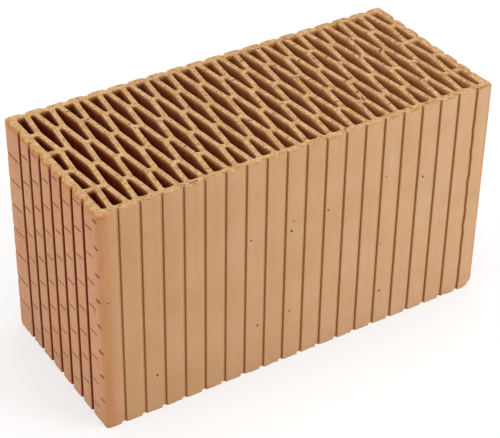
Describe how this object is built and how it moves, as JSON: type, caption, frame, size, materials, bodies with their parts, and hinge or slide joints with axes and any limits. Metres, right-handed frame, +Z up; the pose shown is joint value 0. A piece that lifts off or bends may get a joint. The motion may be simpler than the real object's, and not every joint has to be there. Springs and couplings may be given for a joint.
{
  "type": "hollow clay block",
  "caption": "Fired clay wall block with a lattice of interlocking vertical rhombic voids, grooved plaster faces and ground flat bed faces.",
  "frame": {"origin": "middle of the bottom bed face, on the floor", "axes": "+X along the long side, +Y across the block, +Z up along the voids"},
  "size_m": [0.44, 0.19, 0.249],
  "materials": {
    "fired_clay": "bare fired clay, matt and slightly rough"
  },
  "bodies": {
    "root": {"clay_block": "fired_clay"}
  },
  "joints": []
}
